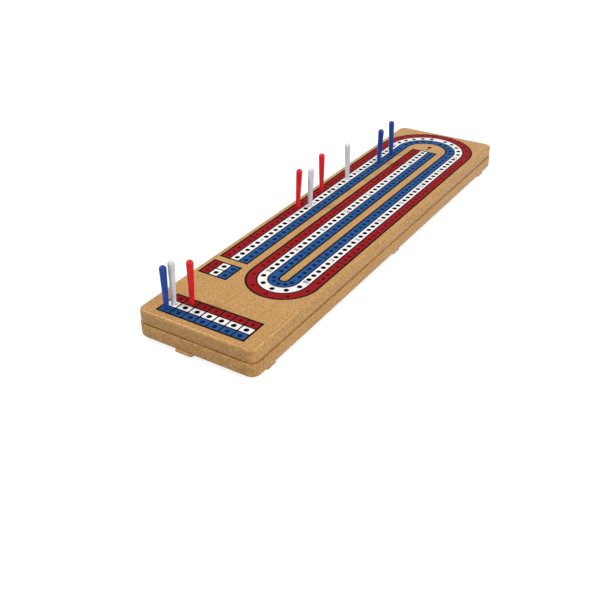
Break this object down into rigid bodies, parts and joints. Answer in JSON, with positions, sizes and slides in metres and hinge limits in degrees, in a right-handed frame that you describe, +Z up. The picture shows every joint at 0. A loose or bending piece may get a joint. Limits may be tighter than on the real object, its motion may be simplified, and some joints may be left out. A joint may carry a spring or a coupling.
{
  "type": "cribbage box",
  "caption": "Moulded cribbage board on a shallow box, with a full-length drawer for pegs and cards and pegs standing in the holes.",
  "frame": {"origin": "middle of the part's outer box, on the surface that its feet stand on", "axes": "+X to the player's right, +Y from the drawer front to the finish end, +Z up"},
  "size_m": [0.08, 0.3302, 0.0473],
  "materials": {
    "tan_plastic": "speckled tan moulding, satin",
    "red_plastic": "glossy red",
    "white_plastic": "glossy milky white",
    "blue_plastic": "glossy royal blue"
  },
  "bodies": {
    "box": {"board_shell": "tan_plastic", "base_shell": "tan_plastic"},
    "drawer": {"drawer_front": "tan_plastic", "drawer_tray": "tan_plastic", "drawer_bottom": "tan_plastic"},
    "peg_red_1": {"peg_red_1": "red_plastic"},
    "peg_red_2": {"peg_red_2": "red_plastic"},
    "peg_red_3": {"peg_red_3": "red_plastic"},
    "peg_white_1": {"peg_white_1": "white_plastic"},
    "peg_white_2": {"peg_white_2": "white_plastic"},
    "peg_white_3": {"peg_white_3": "white_plastic"},
    "peg_blue_1": {"peg_blue_1": "blue_plastic"},
    "peg_blue_2": {"peg_blue_2": "blue_plastic"},
    "peg_blue_3": {"peg_blue_3": "blue_plastic"}
  },
  "joints": [
    {"name": "drawer_slide", "type": "slide", "parent": "box", "child": "drawer", "axis": [0, -1, 0], "range_m": [0, 0.25]},
    {"name": "peg_red_1_lift", "type": "slide", "parent": "box", "child": "peg_red_1", "axis": [0.0207, 0.0131, 0.9997], "range_m": [0, 0.03]},
    {"name": "peg_red_2_lift", "type": "slide", "parent": "box", "child": "peg_red_2", "axis": [0.0442, 0.028, 0.9986], "range_m": [0, 0.03]},
    {"name": "peg_red_3_lift", "type": "slide", "parent": "box", "child": "peg_red_3", "axis": [0.0059, 0.0037, 1], "range_m": [0, 0.03]},
    {"name": "peg_white_1_lift", "type": "slide", "parent": "box", "child": "peg_white_1", "axis": [0.028, 0.0177, 0.9995], "range_m": [0, 0.03]},
    {"name": "peg_white_2_lift", "type": "slide", "parent": "box", "child": "peg_white_2", "axis": [0.0295, 0.0186, 0.9994], "range_m": [0, 0.03]},
    {"name": "peg_white_3_lift", "type": "slide", "parent": "box", "child": "peg_white_3", "axis": [-0.0089, -0.0056, 0.9999], "range_m": [0, 0.03]},
    {"name": "peg_blue_1_lift", "type": "slide", "parent": "box", "child": "peg_blue_1", "axis": [0.0089, 0.0056, 0.9999], "range_m": [0, 0.03]},
    {"name": "peg_blue_2_lift", "type": "slide", "parent": "box", "child": "peg_blue_2", "axis": [0.0266, 0.0168, 0.9995], "range_m": [0, 0.03]},
    {"name": "peg_blue_3_lift", "type": "slide", "parent": "box", "child": "peg_blue_3", "axis": [-0.0236, -0.0149, 0.9996], "range_m": [0, 0.03]}
  ]
}
